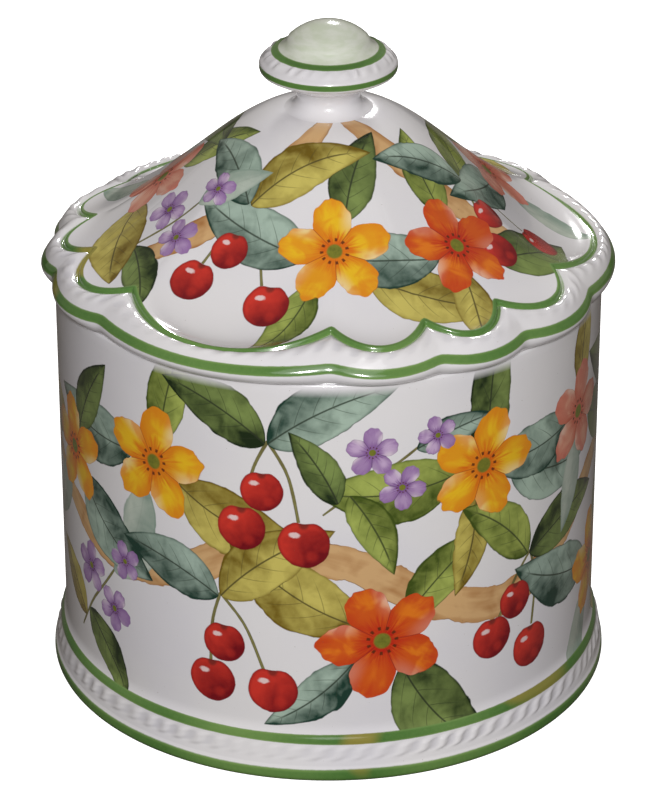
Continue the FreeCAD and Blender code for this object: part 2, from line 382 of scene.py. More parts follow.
def makeJar():
    size = jarSize
    outline, wallRow, bandRow, footRow = jarRows()
    mesh, row, column = rolledMesh("jarBodyGlazed", size["columns"], len(outline))
    turn = column / size["columns"]
    lift, hollow = bandRope(size, row, turn, bandRow, True)
    radius, height = outline[row, 0] + (lift - size["ropeSink"] * hollow) * size["ropeDepth"], outline[row, 1]
    spots = turnedSpots(radius, height, turn)
    span = np.minimum(np.abs(height - size["lineHeight"]) / size["lineHalf"],
                      np.abs(height - size["beadLineHeight"]) / size["beadLineHalf"])
    span[(row <= wallRow) | (row > footRow)] = farAway
    painted = (row > wallRow) & (row < bandRow) & (height > size["lineHeight"])
    unglazed = (row > footRow) & (height < 2.0)
    # relief sets how much painted shade the glaze gets in the rope's hollows.
    addPointValues(mesh, relief=1.0 - hollowShade["jar"] * hollow, lineSpan=span, ground=painted, bare=unglazed)
    # The outer wall fills two long strips of the map, the inside and the underside two thin ones.
    along = lengthsAlong(outline)
    corners, faceOf = cornerFaces(mesh)
    turns, centre = cornerTurns(spots[corners], faceOf)
    reach, middleRow = along[row[corners]], faceMiddles(row[corners], faceOf)
    outside = (middleRow > wallRow) & (middleRow < footRow + 1)
    half = np.floor(centre * 2.0)
    below = along[footRow + 1]
    share = (reach - along[wallRow]) / (below - along[wallRow])
    thin = np.where(middleRow <= wallRow, 0.035 * reach / along[wallRow],
                    0.04 + 0.015 * (reach - below) / (along[-1] - below))
    across = 0.004 + 0.992 * np.where(outside, turns * 2.0 - half, turns)
    charts = np.stack((across, np.where(outside, 0.065 + 0.47 * half + 0.455 * (1.0 - share), 0.002 + thin)), axis=1)
    return placePiece(mesh, spots, charts, "jar", "jar_body")


def makeLid():
    size = lidSize
    angles = []
    for start, width, _ in scallopStarts():
        count = round(width * size["columns"] / 360.0)
        angles += [start + width * step / count for step in range(count)]
    # A cusp belongs to the scallop that it starts.
    sections = [lidSection(angle + 1e-7) for angle in angles]
    for key, reach in (("depth", "ridgeSoftening"), ("lipRadius", "lipSoftening"), ("lineHeight", "lipSoftening")):
        for section, value in zip(sections, softened(np.array([section[key] for section in sections]), size[reach])):
            section[key] = value
    outlines = np.array([lidRows(section) for section in sections])
    mesh, row, column = rolledMesh("lidGlazed", len(angles), outlines.shape[1])
    turn = np.array(angles)[column] / 360.0
    bandRow = 2 + size["slopeSteps"] + size["edgeSteps"]
    lipRow = bandRow + size["bandSteps"] + size["lipSteps"]
    lift, hollow = bandRope(size, row, column / len(angles), bandRow, False)
    push = (lift - size["ropeSink"] * hollow) * size["ropeDepth"]
    spots = turnedSpots(outlines[column, row, 0] + push * size["ropeOut"],
                        outlines[column, row, 1] + push * size["ropeUp"], turn)
    innerLine, outerLine = bandRow - 3, bandRow + size["bandSteps"] + 1
    span = np.minimum(ringSpan(spots, row, column, innerLine) / size["innerLineHalf"],
                      ringSpan(spots, row, column, outerLine) / size["outerLineHalf"])
    span[row > lipRow] = farAway
    # relief sets how much painted shade the glaze gets in the rope's hollows.
    addPointValues(mesh, relief=1.0 - hollowShade["lid"] * hollow, lineSpan=span, ground=row < innerLine,
                   bare=np.zeros(len(row)))
    # Seen from above and from below, the lid is two discs on the map.
    total = np.mean([lengthsAlong(outline) for outline in outlines], axis=0)
    corners, faceOf = cornerFaces(mesh)
    reach, upper = total[row[corners]], faceMiddles(row[corners], faceOf) < lipRow
    top = discChart((0.37, 0.63), 0.36 * reach / total[lipRow], turn[corners])
    bottom = discChart((0.86, 0.14), 0.13 * (total[-1] - reach) / (total[-1] - total[lipRow]), turn[corners])
    return placePiece(mesh, spots, np.where(upper[:, None], top, bottom), "lid", "lid")


def makeKnob():
    size = knobSize
    outline, capRow, brimRow = knobRows()
    mesh, row, column = rolledMesh("knobGlazed", size["columns"], len(outline))
    turn = column / size["columns"]
    lift, hollow = np.zeros(len(row)), np.zeros(len(row))
    for step in range(size["ropeStart"], size["brimSteps"]):
        chosen = row == capRow + step
        lift[chosen], hollow[chosen] = ropeStroke(turn[chosen], (size["brimSteps"] - step) / size["ropeSpan"], size)
    spots = turnedSpots(outline[row, 0], outline[row, 1] + (lift - hollow) * size["ropeDepth"], turn)
    along = lengthsAlong(outline)
    reach = along[row]
    span = np.minimum(np.abs(reach - along[capRow] - size["ringOut"]) / size["ringHalf"],
                      np.abs(reach - along[brimRow]) / size["brimLineHalf"])
    # relief sets how much painted shade the glaze gets in the rope's hollows.
    addPointValues(mesh, relief=1.0 - hollowShade["knob"] * hollow, lineSpan=span, cap=row < capRow,
                   bare=np.zeros(len(row)))
    corners = cornerFaces(mesh)[0]
    charts = discChart((0.5, 0.5), 0.49 * reach[corners] / along[-1], turn[corners])
    return placePiece(mesh, spots, charts, "lid", "knob")


jar = makeJar()
lid = makeLid()
knob = makeKnob()
print("pieces made")


# Nodes

def linear(red, green, blue):
    # A colour as seen on a screen, 0 to 255, as the light values that nodes use.
    values = []
    for part in (red, green, blue):
        share = part / 255.0
        values.append(share / 12.92 if share <= 0.04045 else ((share + 0.055) / 1.055) ** 2.4)
    return (*values, 1.0)


class Wire:
    # One output of a node. Its operators add the maths nodes that they stand for.
    def __init__(self, graph, socket):
        self.graph, self.socket = graph, socket

    def __add__(self, other):
        return self.graph.math("ADD", self, other)

    def __radd__(self, other):
        return self.graph.math("ADD", other, self)

    def __sub__(self, other):
        return self.graph.math("SUBTRACT", self, other)

    def __rsub__(self, other):
        return self.graph.math("SUBTRACT", other, self)

    def __mul__(self, other):
        return self.graph.math("MULTIPLY", self, other)

    def __truediv__(self, other):
        return self.graph.math("DIVIDE", self, other)

    def __pow__(self, other):
        return self.graph.math("POWER", self, other)

    def __gt__(self, other):
        return self.graph.math("GREATER_THAN", self, other)

    def __lt__(self, other):
        return self.graph.math("LESS_THAN", self, other)

    def __abs__(self):
        return self.graph.math("ABSOLUTE", self)


class Graph:
    # Adds nodes to a tree. A value is a number, a colour or a wire.
    def __init__(self, tree):
        self.tree = tree

    def new(self, kind):
        return self.tree.nodes.new("ShaderNode" + kind)

    def wires(self, sockets):
        return {socket.name: Wire(self, socket) for socket in sockets}

    def feed(self, socket, value):
        if isinstance(value, Wire):
            self.tree.links.new(value.socket, socket)
        else:
            socket.default_value = value

    def fill(self, sockets, values):
        for socket, value in zip(sockets, values):
            self.feed(socket, value)

    def math(self, operation, *values, clamp=False):
        node = self.new("Math")
        node.operation = operation
        node.use_clamp = clamp
        self.fill(node.inputs, values)
        return Wire(self, node.outputs[0])

    def most(self, first, second):
        return self.math("MAXIMUM", first, second)

    def least(self, first, second):
        return self.math("MINIMUM", first, second)

    def root(self, value):
        return self.math("SQRT", value)

    def fade(self, value, low, high, start=0.0, end=1.0):
        node = self.new("MapRange")
        node.interpolation_type = "SMOOTHSTEP"
        self.fill(node.inputs, (value, low, high, start, end))
        return Wire(self, node.outputs[0])

    def mix(self, share, first, second, blend="MIX"):
        node = self.new("Mix")
        node.data_type = "RGBA"
        node.blend_type = blend
        self.fill((node.inputs["Factor"], node.inputs[6], node.inputs[7]), (share, first, second))
        return Wire(self, node.outputs[2])

    def pick(self, index, colours):
        # The colour with that number in the list.
        node = self.new("ValToRGB")
        node.color_ramp.interpolation = "CONSTANT"
        stops = node.color_ramp.elements
        while len(stops) < len(colours):
            stops.new(0.5)
        for number, colour in enumerate(colours):
            stops[number].position = number / len(colours)
            stops[number].color = colour
        self.feed(node.inputs[0], (index + 0.5) / float(len(colours)))
        return Wire(self, node.outputs[0])

    def parts(self, vector):
        node = self.new("SeparateXYZ")
        self.feed(node.inputs[0], vector)
        return [Wire(self, output) for output in node.outputs]

    def joined(self, *values):
        node = self.new("CombineXYZ")
        self.fill(node.inputs, values)
        return Wire(self, node.outputs[0])

    def noise(self, vector, scale, detail=2.0, roughness=0.5, distortion=0.0):
        node = self.new("TexNoise")
        self.feed(node.inputs["Vector"], vector)
        for name, value in (("Scale", scale), ("Detail", detail), ("Roughness", roughness), ("Distortion", distortion)):
            node.inputs[name].default_value = value
        return Wire(self, node.outputs["Fac"])

    def place(self):
        return Wire(self, self.new("TexCoord").outputs["Object"])

    def seen(self):
        return Wire(self, self.new("LightPath").outputs["Is Camera Ray"])

    def attribute(self, name, output="Fac"):
        node = self.new("Attribute")
        node.attribute_name = name
        return Wire(self, node.outputs[output])

    def use(self, group, **values):
        node = self.new("Group")
        node.node_tree = group
        for name, value in values.items():
            self.feed(node.inputs[name], value)
        return self.wires(node.outputs)


def newGroup(name, inputs, outputs):
    tree = bpy.data.node_groups.new(name, "ShaderNodeTree")
    for way, sockets in (("INPUT", inputs), ("OUTPUT", outputs)):
        for label, kind in sockets.items():
            tree.interface.new_socket(label, in_out=way, socket_type="NodeSocket" + kind)
    source = tree.nodes.new("NodeGroupInput")
    target = tree.nodes.new("NodeGroupOutput")
    graph = Graph(tree)
    return graph, graph.wires(source.outputs), target.inputs


motifInputs = {"Place": "Vector", "Form": "Vector", "Wash": "Float", "Grain": "Float"}
paintOutputs = {"Color": "Color", "Mask": "Float"}

ink = linear(52, 58, 44)


def makeBrushLeaf():
    # Place is the way along from the base, the way across and the length. Form is width, bend and palette.
    graph, source, target = newGroup("brushLeaf", motifInputs, paintOutputs)
    along, across, length = graph.parts(source["Place"])
    width, bend, palette = graph.parts(source["Form"])
    wash, grain = source["Wash"], source["Grain"]
    share = along / graph.most(length, 1.0)
    within = graph.least(graph.most(share, 0.0), 1.0)
    arch = within * (1.0 - within)
    side = across - bend * length * arch
    wave = graph.most(graph.math("SINE", within ** 0.74 * math.pi), 0.0)
    half = width * length * 0.5 * wave ** 0.86
    wobble = (wash - 0.5) * 2.6 * wave
    spread = abs(side)
    rim = half + wobble - spread
    live = length > 0.5
    ends = abs(share - 0.5) < 0.5
    mask = graph.fade(rim, 0.0, 0.4) * (live * ends)
    light = graph.pick(palette, (linear(214, 200, 104), linear(176, 190, 96), linear(176, 198, 182),
                                 linear(132, 152, 84), linear(200, 210, 196)))
    deep = graph.pick(palette, (linear(116, 94, 18), linear(66, 84, 22), linear(28, 62, 50),
                                linear(26, 44, 18), linear(146, 166, 152)))
    inkShare = graph.pick(palette, ((1.0, 1.0, 1.0, 1.0),) * 4 + ((0.12, 0.12, 0.12, 1.0),))
    outward = spread / graph.most(half, 0.2)
    halves = graph.fade(side / graph.most(half, 0.2), -0.35, 0.5)
    tone = halves * 0.5 + (wash - 0.5) * 1.7 + ((grain - 0.5) * 0.3 + 0.2)
    tone = tone + graph.fade(within, 0.75, 1.0, 0.0, 0.3)
    tone = tone + graph.fade(within, 0.0, 0.25, 0.3, 0.0)
    tone = graph.math("ADD", tone, graph.fade(rim, 0.1, 1.3, 0.4, 0.0), clamp=True)
    body = graph.mix(tone, light, deep)
    pitch = graph.most(length * 0.15, 1.0)
    curl = spread * 0.8 + outward * spread * 0.45
    veinWay = (along - curl) / pitch
    vein = abs(graph.math("FRACT", veinWay) - 0.5) * pitch
    veins = graph.fade(vein, 0.04, 0.34, 1.0, 0.0) * graph.fade(outward, 0.4, 0.85, 0.5, 0.0)
    rib = graph.fade(spread, 0.12, 0.42, 0.85, 0.0) * graph.fade(within, 0.75, 0.92, 1.0, 0.0)
    drawn = graph.fade(rim, 0.2, 0.55, 1.0, 0.0) * graph.fade(wash, 0.42, 0.5, 0.95, 0.15)
    inked = graph.most(graph.most(veins, rib), drawn) * inkShare
    graph.feed(target["Color"], graph.mix(inked, body, graph.mix(0.3, ink, deep)))
    graph.feed(target["Mask"], mask)
    return graph.tree


def makeOpenBlossom():
    # Place is the way right and up from the middle, and the radius. Form is point, turn and palette.
    graph, source, target = newGroup("openBlossom", motifInputs, paintOutputs)
    right, up, radius = graph.parts(source["Place"])
    point, turn, palette = graph.parts(source["Form"])
    wash, grain = source["Wash"], source["Grain"]
    safe = graph.most(radius, 0.5)
    out = graph.root(right * right + up * up) / safe
    angle = graph.math("ARCTAN2", up, right) + turn
    fifth = graph.math("FRACT", angle / (2.0 * math.pi / 5.0))
    gap = abs(fifth - 0.5) * 2.0
    rounded = gap ** 2.6 * 0.42
    pointed = gap ** 1.15 * 0.5
    fall = rounded * (1.0 - point) + pointed * point
    frill = graph.math("SINE", angle * 23.0) * 0.014 + (wash - 0.5) * 0.22
    rim = (1.0 - fall + frill - out) * safe
    live = radius > 0.5
    mask = graph.fade(rim, 0.0, 0.4) * live
    heart = graph.pick(palette, (linear(226, 104, 18), linear(196, 36, 20), linear(128, 84, 150),
                                 linear(206, 96, 70)))
    middle = graph.pick(palette, (linear(246, 196, 34), linear(238, 128, 30), linear(206, 178, 214),
                                  linear(236, 168, 140)))
    tip = graph.pick(palette, (linear(238, 152, 30), linear(214, 74, 28), linear(160, 122, 178),
                               linear(222, 128, 110)))
    fibre = graph.noise(graph.joined(angle * 3.2, out * 0.9, radius), 3.4, 2.0)
    way = out + (fibre - 0.5) * 0.55
    petal = graph.mix(graph.fade(way, 0.16, 0.52), heart, middle)
    petal = graph.mix(graph.fade(way, 0.62, 1.02, 0.0, 0.85), petal, tip)
    petal = graph.mix(graph.fade(fifth, 0.62, 1.0, 0.0, 0.75) * graph.fade(out, 0.15, 0.4), petal, heart)
    pale = graph.fade(fifth, 0.08, 0.4, 0.8, 0.0) * graph.fade(out, 0.3, 0.75)
    petal = graph.mix(pale, petal, graph.mix(0.55, middle, (1.0, 0.98, 0.86, 1.0)))
    petal = graph.mix(graph.fade(wash, 0.42, 0.6) * 0.65, petal, graph.mix(0.35, tip, heart))
    seam = graph.fade((1.0 - gap) * (out * safe), 0.06, 0.36, 1.0, 0.0) * graph.fade(out, 0.12, 0.2)
    drawn = graph.fade(rim, 0.2, 0.55, 1.0, 0.0) * graph.fade(wash, 0.44, 0.52, 1.0, 0.25)
    lined = graph.most(seam, drawn) * 0.8
    petal = graph.mix(lined, petal, graph.mix(0.6, ink, heart))
    eye = graph.fade(out, 0.11, 0.15, 1.0, 0.0)
    petal = graph.mix(eye, petal, graph.mix(grain, linear(150, 148, 50), linear(84, 96, 34)))
    ring = graph.fade(abs(out - 0.215), 0.018, 0.04, 1.0, 0.0)
    beads = ring * graph.fade(graph.math("COSINE", angle * 11.0), 0.2, 0.6)
    petal = graph.mix(beads * 0.9, petal, linear(92, 44, 18))
    graph.feed(target["Color"], petal)
    graph.feed(target["Mask"], mask)
    return graph.tree


def makeRoundFruit():
    # Place is the way right and up from the middle, and the radius. Form is squash.
    graph, source, target = newGroup("roundFruit", motifInputs, paintOutputs)
    right, up, radius = graph.parts(source["Place"])
    squash = graph.parts(source["Form"])[0]
    wash, grain = source["Wash"], source["Grain"]
    safe = graph.most(radius, 0.5)
    x = right / safe
    y = up * squash / safe
    dip = graph.fade(abs(x), 0.0, 0.5, 0.12, 0.0) * (y > 0.0)
    out = graph.root(x * x + y * y)
    edge = 1.0 - dip + (wash - 0.5) * 0.16
    rim = (edge - out) * safe
    live = radius > 0.5
    mask = graph.fade(rim, 0.0, 0.35) * live
    light, deep = linear(214, 56, 44), linear(122, 12, 24)
    lean = x * 0.42 + y * -0.5
    tone = graph.math("ADD", lean + 0.42 + (wash - 0.5) * 1.5, (grain - 0.5) * 0.25, clamp=True)
    body = graph.mix(tone, light, deep)
    body = graph.mix(graph.fade(rim, 0.2, 1.4, 0.5, 0.0), body, deep)
    glowX, glowY = x + 0.34, y - 0.36
    glow = graph.root(glowX * glowX + glowY * glowY * 3.2)
    shine = graph.fade(glow + (grain - 0.5) * 0.2, 0.14, 0.27, 0.85, 0.0)
    body = graph.mix(shine, body, linear(246, 226, 224))
    low = graph.root((x - 0.3) * (x - 0.3) + (y + 0.5) * (y + 0.5))
    body = graph.mix(graph.fade(low, 0.1, 0.34, 0.4, 0.0), body, light)
    drawn = graph.fade(rim, 0.12, 0.46, 0.8, 0.0) * graph.fade(grain, 0.34, 0.5)
    dent = graph.fade(graph.root(x * x + (y - 0.8) ** 2.0), 0.1, 0.26, 0.7, 0.0)
    body = graph.mix(graph.most(drawn, dent), body, graph.mix(0.5, ink, deep))
    graph.feed(target["Color"], body)
    graph.feed(target["Mask"], mask)
    return graph.tree


def makeBrushStroke():
    # Place is the way along, the way across and half the width. Form is length, taper and palette.
    graph, source, target = newGroup("brushStroke", motifInputs, paintOutputs)
    along, across, halfWidth = graph.parts(source["Place"])
    length, taper, palette = graph.parts(source["Form"])
    wash = source["Wash"]
    share = along / graph.most(length, 1.0)
    within = graph.least(graph.most(share, 0.0), 1.0)
    swell = graph.most(within * (1.0 - within) * 4.0, 0.0) ** 0.5
    shape = swell * taper + (1.0 - taper)
    half = halfWidth * shape * (0.65 + wash * 0.7)
    rim = half - abs(across)
    live = halfWidth > 0.05
    ends = abs(share - 0.5) < 0.5
    mask = graph.fade(rim, -0.1, 0.2) * (live * ends)
    light = graph.pick(palette, (linear(222, 180, 126), linear(150, 146, 88)))
    deep = graph.pick(palette, (linear(164, 102, 44), linear(92, 84, 50)))
    streak = graph.noise(graph.joined(along * 0.03, across * 0.35, halfWidth), 1.0, 2.0, 0.5)
    tone = graph.math("ADD", (streak - 0.5) * 1.2 + graph.fade(rim, 0.1, 1.6, 0.4, 0.1), (wash - 0.5) * 1.9,
                      clamp=True)
    edge = graph.fade(rim, 0.15, 0.45, 1.0, 0.0) * graph.fade(wash, 0.4, 0.5, 0.8, 0.2)
    graph.feed(target["Color"], graph.mix(edge, graph.mix(tone, light, deep), graph.mix(0.5, ink, deep)))
    graph.feed(target["Mask"], mask)
    return graph.tree


def makeBandLine():
    # A painted band. Span is the way from its middle over half its width, and Stretch a slow change along it.
    graph, source, target = newGroup("bandLine", {"Span": "Float", "Stretch": "Float", "Grain": "Float"}, paintOutputs)
    stretch, grain = source["Stretch"], source["Grain"]
    span = source["Span"] / (0.8 + stretch * 0.4) + (grain - 0.5) * 0.12
    tone = graph.math("ADD", (stretch - 0.5) * 1.6 + 0.62,
                      (grain - 0.5) * 0.35 + graph.fade(span, 0.45, 0.95, 0.0, -0.5), clamp=True)
    green = graph.mix(tone, linear(124, 158, 88), linear(66, 116, 46))
    aged = graph.mix(graph.fade(stretch, 0.62, 0.68, 0.0, 0.9), green, linear(158, 146, 66))
    graph.feed(target["Color"], aged)
    graph.feed(target["Mask"], graph.fade(span, 0.82, 1.06, 1.0, 0.0))
    return graph.tree


def makeGlazeCoat():
    # The clear glaze over everything: its tint, painted shade with the faint blue of pooled glaze in the hollows beside
    # relief, kiln specks and faint ripples.
    graph, source, target = newGroup("glazeCoat", {"Base": "Color", "Relief": "Float", "Bare": "Float"},
                                     {"Color": "Color", "Roughness": "Float", "Coat": "Float", "Height": "Float"})
    base, relief, bare = source["Base"], source["Relief"], source["Bare"]
    place = graph.place()
    cloud = graph.noise(place, 22.0, 3.0)
    ripple = graph.noise(place, 60.0, 2.0)
    pit = graph.noise(place, 900.0, 2.0)
    speck = graph.noise(place, 1400.0, 1.0)
    cool = graph.fade(cloud, 0.35, 0.7, 0.0, 0.35)
    tinted = graph.mix(cool, base, graph.mix(1.0, base, linear(238, 238, 250), "MULTIPLY"))
    # Painted shade: the glaze is made darker in the rope's hollows, and a little bluer like pooled glaze.
    deep = graph.fade(relief, 0.05, 0.8, 0.4, 0.0)
    hollowShaded = graph.mix(deep, tinted, graph.mix(1.0, tinted, linear(206, 206, 214), "MULTIPLY"))
    dotted = graph.mix(graph.fade(speck, 0.79, 0.83, 0.0, 0.5), hollowShaded, linear(120, 96, 74))
    fired = graph.mix(bare, dotted, graph.mix(ripple, linear(226, 212, 190), linear(198, 180, 154)))
    graph.feed(target["Color"], fired)
    shine = graph.fade(ripple, 0.3, 0.7, 0.1, 0.17) + graph.fade(pit, 0.55, 0.8) * 0.06
    graph.feed(target["Roughness"], shine + bare * 0.6)
    graph.feed(target["Coat"], (1.0 - bare) * 0.6)
    graph.feed(target["Height"], ripple + pit * 0.04)
    return graph.tree


motifs = {"stroke": makeBrushStroke(), "leaf": makeBrushLeaf(), "fruit": makeRoundFruit(),
          "blossom": makeOpenBlossom()}
bandLine = makeBandLine()
glazeCoat = makeGlazeCoat()


def glazedMaterial(name, painted, capColour=None):
    material = bpy.data.materials.new(name)
    material.use_nodes = True
    tree = material.node_tree
    tree.nodes.clear()
    graph = Graph(tree)
    place = graph.place()
    wash = graph.noise(place, 110.0, 2.0, 0.55, 0.6)
    grain = graph.noise(place, 650.0, 3.0, 0.6)
    colour = plain = linear(238, 236, 238)
    if capColour:
        cap = graph.attribute("cap")
        brushed = graph.noise(graph.joined(*graph.parts(place)[:2], graph.parts(place)[2] * 4.0), 160.0, 3.0)
        brushed = graph.fade(brushed, 0.3, 0.7)
        shade = graph.mix(brushed, capColour, graph.mix(1.0, capColour, linear(238, 243, 232), "MULTIPLY"))
        colour = graph.mix(cap, colour, shade)
    if painted:
        for kind, layers in paintLayers.items():
            for layer in layers:
                result = graph.use(motifs[kind], Place=graph.attribute(layer + "Place", "Vector"),
                                   Form=graph.attribute(layer + "Form", "Vector"), Wash=wash, Grain=grain)
                colour = graph.mix(result["Mask"], colour, result["Color"])
        colour = graph.mix(graph.attribute("ground"), plain, colour)
    line = graph.use(bandLine, Span=graph.attribute("lineSpan"), Stretch=graph.noise(place, 22.0, 1.0), Grain=grain)
    colour = graph.mix(line["Mask"], colour, line["Color"])
    coat = graph.use(glazeCoat, Base=colour, Relief=graph.attribute("relief"), Bare=graph.attribute("bare"))
    surface, output, bump = graph.new("BsdfPrincipled"), graph.new("OutputMaterial"), graph.new("Bump")
    bump.inputs["Distance"].default_value = 0.00025
    bump.inputs["Strength"].default_value = 0.35
    graph.feed(bump.inputs["Height"], coat["Height"])
    graph.feed(surface.inputs["Base Color"], coat["Color"])
    graph.feed(surface.inputs["Roughness"], coat["Roughness"])
    graph.feed(surface.inputs["Coat Weight"], coat["Coat"])
    surface.inputs["Coat Roughness"].default_value = 0.05
    surface.inputs["IOR"].default_value = 1.5
    tree.links.new(bump.outputs[0], surface.inputs["Normal"])
    tree.links.new(surface.outputs[0], output.inputs["Surface"])
    return material


# Painting: where each leaf, blossom, fruit and stem lies

class Surface:
    # A piece's painted side, with places given as an angle and a height or radius.
    def __init__(self, piece, point, shift):
        self.piece, self.point, self.shift = piece, point, shift
        mesh = piece.data
        spots, corners = numbers(mesh.vertices, "co", 3), numbers(mesh.loops, "vertex_index", kind=np.int64)
        fours = numbers(mesh.polygons, "loop_total", kind=np.int64) == 4
        self.loops = numbers(mesh.polygons, "loop_start", kind=np.int64)[fours][:, None] + np.arange(4)
        self.corners = spots[corners[self.loops]] / mm
        self.centres = self.corners.mean(axis=1)
        self.normals = numbers(mesh.polygons, "normal", 3)[fours]
        # Each layer has a sheet of places and a sheet of forms, and notes which faces are taken.
        self.layers = {layer: np.zeros((2, len(corners), 3)) for layers in paintLayers.values() for layer in layers}
        self.taken = {layer: np.zeros(len(self.centres), dtype=bool) for layer in self.layers}
        self.left = []

    def axes(self, angle, level, heading):
        # The spot, its outward direction, and the directions along and across a heading.
        spot = np.array(self.point(angle, level))
        near = np.linalg.norm(self.centres - spot, axis=1) < 9.0
        outward = self.normals[near].mean(axis=0)
        outward /= np.linalg.norm(outward)
        turn = math.radians(angle)
        right = np.array((-math.sin(turn), math.cos(turn), 0.0))
        right -= outward * right.dot(outward)
        right /= np.linalg.norm(right)
        up = np.cross(outward, right)
        lean = math.radians(heading)
        return (spot, outward, math.cos(lean) * right + math.sin(lean) * up,
                math.cos(lean) * up - math.sin(lean) * right)

    def lay(self, kind, faces, place, form):
        # Gives the faces to the first layer of that kind that has them free.
        for layer in paintLayers[kind]:
            if not self.taken[layer][faces].any():
                self.taken[layer][faces] = True
                self.layers[layer][0, self.loops[faces]] = place
                self.layers[layer][1, self.loops[faces]] = form
                return
        self.left.append((kind, int(faces[0]) if len(faces) else -1))

    def card(self, kind, angle, level, heading, reach, size, form, start=0.0, covers=None):
        # Lays a flat card on the surface. covers tells which places ahead and across it needs.
        spot, outward, ahead, across = self.axes(angle, level, heading)
        near = np.linalg.norm(self.centres - spot, axis=1) < reach + 2.0
        near = np.flatnonzero(near & (self.normals @ outward > 0.4))
        way = self.corners[near] - spot
        place = np.stack((start + way @ ahead, way @ across, np.full(way.shape[:2], float(size))), axis=2)
        if covers is None:
            inside = np.hypot(place[:, :, 0], place[:, :, 1]).min(axis=1) < reach
        else:
            inside = covers(place[:, :, 0], place[:, :, 1]).any(axis=1)
        self.lay(kind, near[inside], place[inside], form)

    def leaf(self, angle, level, heading, length, width, bend, palette):
        # The angle and level are of the leaf's base, and the card's middle is the leaf's middle.
        def covers(along, across):
            share = np.clip(along / length, 0.0, 1.0)
            side = across - bend * length * share * (1.0 - share)
            half = 0.5 * width * length * np.sin(np.pi * share ** 0.74) ** 0.86 + 1.8
            return (np.abs(side) < half) & (along > -1.0) & (along < length + 1.0)
        lean = math.radians(heading)
        middle = self.shift(angle, level, math.cos(lean) * length / 2.0, math.sin(lean) * length / 2.0)
        self.card("leaf", *middle, heading, length * 0.62 + 2.0, length, (width, bend, palette), length / 2.0, covers)

    def blossom(self, angle, level, radius, turn, point, palette):
        self.card("blossom", angle, level, 0.0, radius * 1.08 + 0.3, radius, (point, math.radians(turn), palette))

    def fruit(self, angle, level, radius, squash=1.0):
        self.card("fruit", angle, level, 0.0, radius * 1.06 + 0.3, radius, (squash, 0.0, 0.0))

    def stroke(self, path, halfWidth, taper, palette):
        # A smooth brush line through the given places.
        knots = [path[0]] + list(path) + [path[-1]]
        line = []
        for before, start, end, after in zip(knots, knots[1:], knots[2:], knots[3:]):
            for step in range(10):
                share = step / 10.0
                mixed = []
                for a, b, c, d in zip(before, start, end, after):
                    mixed.append(0.5 * (2 * b + (c - a) * share + (2 * a - 5 * b + 4 * c - d) * share ** 2
                                        + (3 * b - a - 3 * c + d) * share ** 3))
                line.append(self.point(*mixed))
        line.append(self.point(*path[-1]))
        line = np.array(line)
        lengths = np.linalg.norm(np.diff(line, axis=0), axis=1)
        passed = np.concatenate(([0.0], np.cumsum(lengths)))
        reach = halfWidth * 1.6 + 4.0
        best = np.full(self.corners.shape[:2], np.inf)
        place = np.full(self.corners.shape, float(halfWidth))
        for index, length in enumerate(lengths):
            way = (line[index + 1] - line[index]) / length
            middle = (line[index + 1] + line[index]) / 2.0
            near = np.flatnonzero(np.linalg.norm(self.centres - middle, axis=1) < length / 2.0 + reach + 2.0)
            offset = self.corners[near] - line[index]
            low = 0.0 if index else -3.0
            high = length if index < len(lengths) - 1 else length + 3.0
            share = np.clip(offset @ way, low, high)
            gap = offset - share[:, :, None] * way
            distance = np.linalg.norm(gap, axis=2)
            side = np.sign(gap @ np.cross(self.normals[near].mean(axis=0), way))
            closer = distance < best[near]
            best[near] = np.where(closer, distance, best[near])
            place[near, :, 0] = np.where(closer, passed[index] + share, place[near, :, 0])
            place[near, :, 1] = np.where(closer, distance * side, place[near, :, 1])
        faces = np.flatnonzero((best.min(axis=1) < halfWidth * 1.5 + 0.8) & (best.max(axis=1) < 60.0))
        self.lay("stroke", faces, place[faces], (passed[-1], taper, palette))

    def finish(self):
        mesh = self.piece.data
        for layer, sheets in self.layers.items():
            for name, values in zip(("Place", "Form"), sheets):
                sheet = mesh.attributes.new(layer + name, "FLOAT_VECTOR", "CORNER")
                sheet.data.foreach_set("vector", values.astype(np.float32).ravel())
        print(self.piece.name, "painted, motifs without a free layer:", self.left)


def jarPoint(angle, height):
    turn = math.radians(angle)
    return (jarSize["wallRadius"] * math.cos(turn), jarSize["wallRadius"] * math.sin(turn), height)


def jarShift(angle, height, right, up):
    return (angle + math.degrees(right / jarSize["wallRadius"]), height + up)


def lidPoint(angle, radius):
    turn = math.radians(angle)
    return (radius * math.cos(turn), radius * math.sin(turn), domeHeight(lidSection(angle), radius))


def lidShift(angle, radius, right, up):
    # The dome slopes, so a way up its side is shorter as a change of radius.
    return (angle + math.degrees(right / radius), radius - up * 0.82)


# Palettes of leaves, blossoms and strokes
olive, lime, teal, moss, mist = 0, 1, 2, 3, 4
gold, flame, lavender, coral = 0, 1, 2, 3
tan, sprig = 0, 1


def spray(surface, angle, level, turn, scale):
    # Finds places by their way right and up from a spray's middle, with the spray turned.
    lean = math.radians(turn)

    def at(right, up):
        right, up = right * scale, up * scale
        return surface.shift(angle, level, right * math.cos(lean) - up * math.sin(lean),
                             right * math.sin(lean) + up * math.cos(lean))
    return at


def blossomSpray(surface, angle, level, turn=0.0, scale=1.0, petals=gold, leaves=(teal, olive, lime, mist)):
    at = spray(surface, angle, level, turn, scale)
    surface.leaf(*at(-8, 3), 160 + turn, 46 * scale, 0.46, 0.25, leaves[0])
    surface.leaf(*at(8, -7), -34 + turn, 44 * scale, 0.5, -0.3, leaves[1])
    surface.leaf(*at(5, 9), 58 + turn, 36 * scale, 0.42, 0.2, leaves[2])
    surface.leaf(*at(-6, -8), 236 + turn, 34 * scale, 0.4, 0.25, leaves[3])
    surface.blossom(*at(0, 0), 19.0 * scale, 12 + turn, 0.45, petals)


